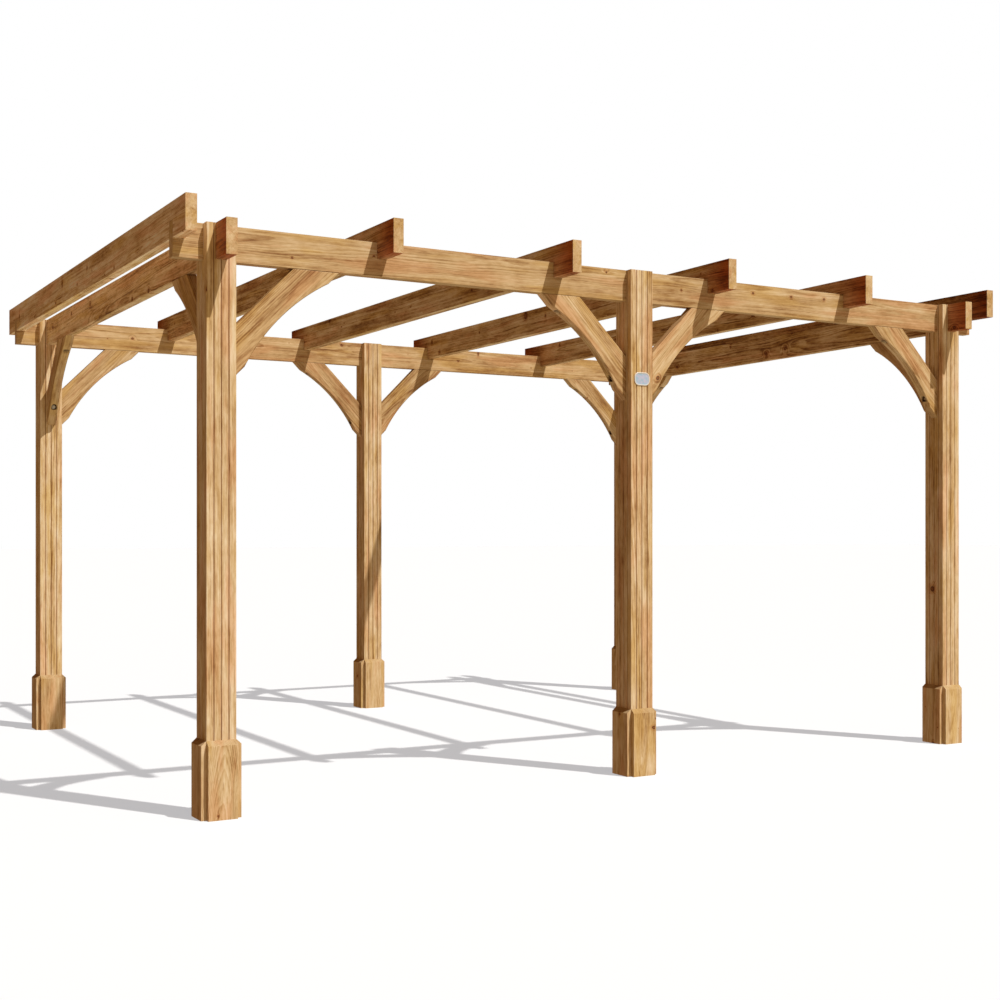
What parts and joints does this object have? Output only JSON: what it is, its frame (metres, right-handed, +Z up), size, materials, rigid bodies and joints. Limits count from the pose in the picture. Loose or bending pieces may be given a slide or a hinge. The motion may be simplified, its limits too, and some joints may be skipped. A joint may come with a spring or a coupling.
{
  "type": "wooden pergola",
  "caption": "Free-standing open wooden pergola: grooved square posts, halved beams, notched rafters, curved knee braces and short boards cladding each post foot.",
  "frame": {"origin": "middle of the footprint, on the ground", "axes": "+X along the long side, left to right seen from the front; +Y from front to back; +Z up"},
  "size_m": [4.32, 3.253, 2.367],
  "materials": {
    "post": "planed softwood, warm honey stain, satin",
    "cladding": "planed softwood, warm honey stain, satin",
    "beam": "planed softwood, warm honey stain, satin",
    "rafter": "planed softwood, warm honey stain, satin",
    "brace": "planed softwood, warm honey stain, satin",
    "plaque": "blank pale blue enamel plate, semi-gloss"
  },
  "bodies": {
    "root": {"post_front_left": "post", "post_front_middle": "post", "post_front_right": "post", "post_back_left": "post", "post_back_middle": "post", "post_back_right": "post", "base_boards_front_left": "cladding", "base_boards_front_middle": "cladding", "base_boards_front_right": "cladding", "base_boards_back_left": "cladding", "base_boards_back_middle": "cladding", "base_boards_back_right": "cladding", "front_beam": "beam", "back_beam": "beam", "left_beam": "beam", "right_beam": "beam", "rafter_1": "rafter", "rafter_2": "rafter", "rafter_3": "rafter", "rafter_4": "rafter", "rafter_5": "rafter", "rafter_6": "rafter", "front_brace_1": "brace", "front_brace_2": "brace", "front_brace_3": "brace", "front_brace_4": "brace", "back_brace_1": "brace", "back_brace_2": "brace", "back_brace_3": "brace", "back_brace_4": "brace", "left_brace_front": "brace", "left_brace_back": "brace", "right_brace_front": "brace", "right_brace_back": "brace", "plaque": "plaque"}
  },
  "joints": []
}
